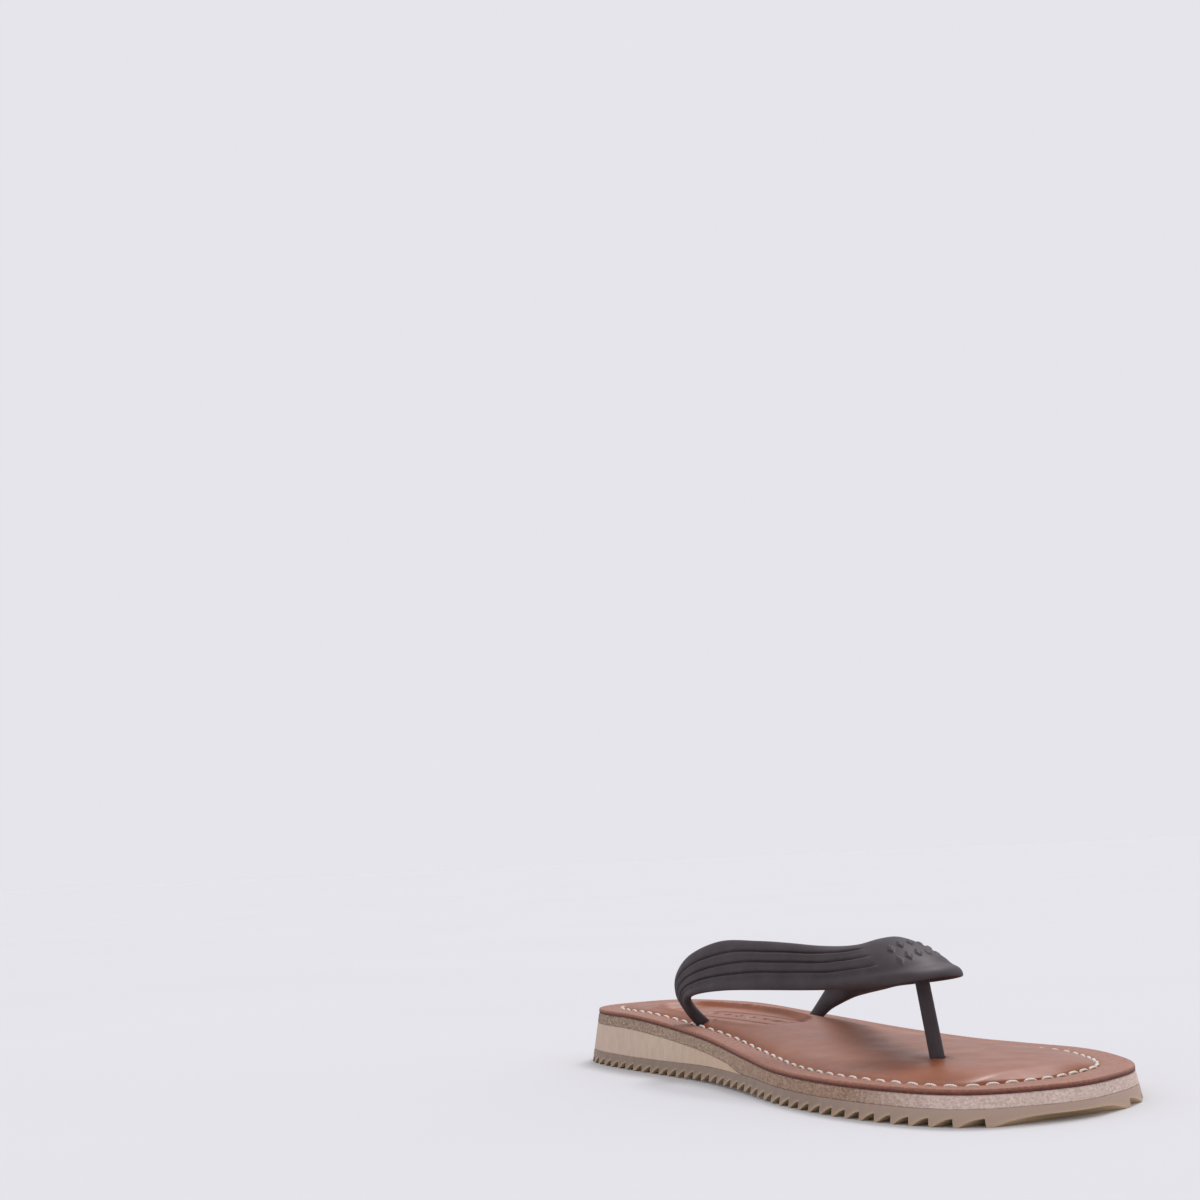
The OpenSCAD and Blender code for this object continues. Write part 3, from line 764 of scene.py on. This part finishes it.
def bandStations():
    # The strap's rows from the inner stem round the nose to the outer stem, with the curve of through
    # between them.
    def placed(row, side):
        # A row's distances from the middle line turned into y.
        row = np.array(row, float)
        row[:2, 1] = strapMiddle(row[:2, 0]) + side * row[:2, 1]
        return row
    rows = np.array([placed(r, -1) for r in strap["medial"]] + [placed(strap["nose"], 1)]
                    + [placed(r, 1) for r in strap["lateral"][::-1]])
    n = len(rows)
    k = np.repeat(np.arange(n - 1), strap["steps"])
    t = np.tile(np.arange(strap["steps"]) / strap["steps"], n - 1)[:, None, None]
    at = [rows[np.clip(k + j, 0, n - 1)] for j in (-1, 0, 1, 2)]
    return np.concatenate([through(*at, t), rows[-1:]])


def lozengeRows(x, y):
    # Two short rows of small raised lozenges on the centre piece, across the strap's middle line: each
    # is 1 less the sum of its two distances in shares of its half sizes, eased to a flat top.
    middle, pitch, apart = strap["motif"]
    s, t = x - middle, y - strapMiddle(x)
    row = np.abs(np.abs(s) - apart)
    cell = np.mod(t + 0.25 * s + pitch / 2, pitch) - pitch / 2
    shape = smooth((1 - (row / 3.1 + np.abs(cell) / 1.5)) / 0.5)
    return 0.5 * shape * smooth((2.6 * pitch - np.abs(t)) / 2) * (np.abs(s) < 2 * apart)


def makeStrap():
    # Each station is one closed section: the middle, plus q times the half width, plus a height along
    # the band's own upward direction. The height is the swell times an oval, less grooves, plus a lip.
    band = bandStations()
    low, high, swell = band[:, 0], band[:, 1], band[:, 2]
    middle, wide = (low + high) / 2, (high - low) / 2
    travel = np.gradient(middle, axis=0)
    up = np.cross(travel, wide)
    up /= np.linalg.norm(up, axis=1, keepdims=True)
    along = np.concatenate([[0], np.cumsum(np.linalg.norm(np.diff(middle, axis=0), axis=1))])
    # q runs from the lower edge (-1) to the upper (1) on the outside, with extra points in the
    # grooves, then back
    d = strap
    inGroove = np.linspace(-2.8, 2.8, d["groovePoints"])
    near = (np.array(d["grooves"])[:, None] + d["grooveWidth"] * inGroove).ravel()
    coarse = -np.cos(np.linspace(0, math.pi, d["outerPoints"]))
    outer = np.unique(np.round(np.concatenate([coarse, near]), 4))
    inner = np.cos(np.linspace(0, math.pi, d["innerPoints"] + 2)[1:-1])
    q = np.concatenate([outer, inner])
    face = np.concatenate([0 * outer + 1, 0 * inner - 1])
    circle = np.sqrt(np.maximum(1 - q ** 2, 0))
    flat = np.maximum(1 - np.abs(q) ** 2.5, 0) ** (1 / 2.2)
    noseAway = np.abs(along - along[len(along) // 2])[:, None]
    endAway = np.minimum(along, along[-1] - along)[:, None]
    # a flattened oval on the arms, a plain oval on the stems and the centre piece
    arm = smooth((np.linalg.norm(wide, axis=1)[:, None] - 2.6) / 2.5) * smooth((noseAway - 12) / 25)
    height = np.where(face > 0, swell[:, :1], -swell[:, 1:2]) * (flat * arm + circle * (1 - arm))
    outside = (face > 0)[None, :] * (circle > 0)[None, :]
    # ribs end in a point before the centre piece and fade on the stems
    noseFrom, noseOver = d["ribsFromNose"]
    endFrom, endOver = d["ribsFromEnds"]
    ribs = smooth((noseAway - noseFrom) / noseOver) * smooth((endAway - endFrom) / endOver)
    cut = 0
    edgeHigh, edgeAt, edgeWide = d["grooveLip"]
    for groove in d["grooves"]:
        off = (q - groove) / d["grooveWidth"]
        cut = cut - d["grooveDepth"] * np.exp(-np.abs(off) ** 1.5)
        cut = cut + edgeHigh * bump(off + edgeAt, edgeWide)
    lipHigh, lipAt, lipWide = d["rolledLip"]
    deep, deepAt, deepWide = d["lipValley"]
    lip = lipHigh * bump((q + lipAt) / lipWide, 1) - deep * bump((q + deepAt) / deepWide, 1)
    height = height + outside * (cut * ribs + lip * smooth((endAway - 9) / 8))
    points = middle[:, None] + wide[:, None] * q[..., None] + up[:, None] * height[..., None]
    # the centre piece swells into a dome above the arms
    middleX, swellUp, swellWidth = strap["dome"]
    far = np.hypot(points[..., 0] - middleX, (points[..., 1] - strapMiddle(middleX)) * 0.85)
    lift = swellUp * bump(far, swellWidth) + lozengeRows(points[..., 0], points[..., 1])
    points = points + up[:, None] * (lift * (face > 0) * smooth(circle * 3 - 0.4))[..., None]
    marks = np.stack(np.broadcast_arrays(along[:, None], np.where(outside, q, 2.0), ribs), -1)
    faces = list(loopFaces(len(band), len(q))) + capFaces(len(band), len(q))
    piece = makePiece("thong_strap", points, faces, {"band": marks}, d["sharp"])
    place(piece, rubber, "strap_rubber", "strap")


def turned(name, foot, top, profile, ridge=0.0):
    # A round piece along a line: circles whose radius follows the distance from the foot, with a
    # faint parting ridge on two sides.
    foot, top = np.array(foot, float), np.array(top, float)
    axis = (top - foot) / np.linalg.norm(top - foot)
    sideways = np.cross(axis, (0, 1, 0))
    sideways /= np.linalg.norm(sideways)
    third = np.cross(axis, sideways)
    sides = strap["roundSides"]
    a = np.arange(sides) * 2 * math.pi / sides
    distance, radius = np.array(profile, float).T
    one, two = (np.mod(a + 0.5 + half, 2 * math.pi) - math.pi for half in (0, math.pi))
    parting = ridge * (bump(one, 0.12) + bump(two, 0.12))
    r = radius[:, None] + parting * (radius[:, None] > 0.1)
    spokes = sideways * np.cos(a)[:, None] + third * np.sin(a)[:, None]
    points = (foot + axis * distance[:, None])[:, None] + r[..., None] * spokes
    marks = np.stack(np.broadcast_arrays(distance[:, None], 2.0 + 0 * a, 0.0), -1)
    faces = list(loopFaces(len(distance), sides)) + capFaces(len(distance), sides)
    piece = makePiece(name, points, faces, {"band": marks}, strap["sharp"])
    place(piece, rubber, "strap_rubber", "strap")


def makePost():
    # A round post that narrows a hair upward and flares into the strap as the cube of the way.
    diameter, foot, top = strap["post"]
    r, length = diameter / 2, float(np.linalg.norm(np.subtract(top, foot)))
    body = [(t, r + 0.12 * (1 - t / length)) for t in np.linspace(0, length - 4, 16)]
    fillet = [(length - 4 + t, r + 1.6 * (t / 4) ** 3) for t in np.linspace(0.4, 4, 10)]
    turned("toe_post", foot, top, [(-0.01, 0.02)] + body + fillet + [(length + 0.02, 0.02)], 0.14)


def makePlugs():
    # Under the midsole each leg of the strap ends in a flat round head on a short stem.
    stemTops = (("toe", "toeHole", 13.5), ("inner", "innerHole", 17.6), ("outer", "outerHole", 17.2))
    for name, hole, stemTop in stemTops:
        x, y = footbed[hole]
        sink = strap["anchorSink"] if x < 0 else 0
        foot = float(outsoleTop(np.array([x]))[0] + wedgeAt(np.array([x]))[0]) - sink
        head, stem, thick = strap["plugDiameter"] / 2, strap["stem"], strap["plugThick"]
        disc = [(0, 0.02), (0, head - 0.3), (0.12, head - 0.1), (0.3, head), (thick - 0.3, head),
                (thick - 0.1, head - 0.1), (thick, head - 0.3)]
        profile = disc + [(thick, stem + 0.5), (thick + 0.4, stem), (stemTop - foot, stem),
                          (stemTop - foot + 0.5, 0.02)]
        turned("plug_" + name, (x, y, foot + 0.01), (x, y, stemTop), profile)


# ---------------------------------------------------------------- studio
studio = {
    "camera": (524.7, -370.6, 78.7), "forward": (-0.8683, 0.4745, 0.1448), "roll": 2.63, "lens": 53.3,
    "floor": (0.66, 0.66, 0.66), "sky": (0.791, 0.783, 0.831), "sunFrom": (-0.35, 0.62, 1.1), "sunSoft": 22,
    "film": 36, "nearest": 0.01, "rings": (0.0005, 0.3, 0.8, 2, 6, 20, 60), "sides": 96,
}


def makeStudio():
    # The camera stands at a point, looks along forward and is turned by the roll about that line. A
    # pale floor and an even sky of one brightness surround the sandal.
    d = studio
    camera = bpy.data.objects.new("camera", bpy.data.cameras.new("camera"))
    bpy.context.collection.objects.link(camera)
    forward = Vector(d["forward"]).normalized()
    right = forward.cross(Vector((0, 0, 1))).normalized()
    up = right.cross(forward)
    a = math.radians(d["roll"])
    side, top = right * math.cos(a) - up * math.sin(a), right * math.sin(a) + up * math.cos(a)
    turn = Matrix((side, top, -forward)).transposed().to_4x4()
    camera.matrix_world = Matrix.Translation(Vector(d["camera"]) * mm) @ turn
    camera.data.lens = d["lens"]
    camera.data.sensor_width = d["film"]
    camera.data.clip_start = d["nearest"]
    bpy.context.scene.camera = camera
    # floor: a wide disc of rings
    rings, sides = np.array(d["rings"]), d["sides"]
    angle = np.arange(sides) * 2 * math.pi / sides
    disc = np.stack([rings[:, None] * np.cos(angle), rings[:, None] * np.sin(angle),
                     0 * rings[:, None] * angle], -1)
    floor = makePiece("floor", disc / mm, list(loopFaces(len(rings), sides)) + [list(range(sides))])
    if floor.data.polygons[0].normal.z < 0:
        floor.data.flip_normals()
    r = Recipe("pale_floor")
    colour = r.mix(r.span(r.noise(3, 2), 0.3, 0.7), d["floor"], tuple(c * 0.985 for c in d["floor"]))
    floor.data.materials.append(r.finish(colour, 0.9, None, **{"Specular IOR Level": 0.1}))
    world = bpy.data.worlds.new("studio")
    bpy.context.scene.world = world
    world.use_nodes = True
    back = world.node_tree.nodes["Background"]
    back.inputs["Color"].default_value = (*d["sky"], 1)
    back.inputs["Strength"].default_value = 1.0
    # the sun gives an open floor just what its paint takes from the sky, so that the two meet unseen
    albedo, toSun = d["floor"][0], Vector(d["sunFrom"]).normalized()
    sun = bpy.data.objects.new("sun", bpy.data.lights.new("sun", "SUN"))
    sun.data.energy = math.pi * (1 - albedo) / albedo / toSun.z
    sun.data.color = d["sky"]
    sun.data.angle = math.radians(d["sunSoft"])
    sun.rotation_euler = toSun.to_track_quat("Z", "Y").to_euler()
    bpy.context.collection.objects.link(sun)
    bpy.context.scene.view_settings.view_transform = "Standard"


makeStudio()
print("studio ready")
rubber = strapRubber()
makeOutsole()
makeWedge()
makeMidsole()
makeFoam()
makeCover()
makeStitches()
makeStrap()
makePost()
makePlugs()
washer = washerPlastic()
for node in ("toe_washer", "medial_washer", "lateral_washer"):
    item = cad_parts[node]
    item.data.materials.clear()
    item.data.materials.append(washer)
print("washers finished")
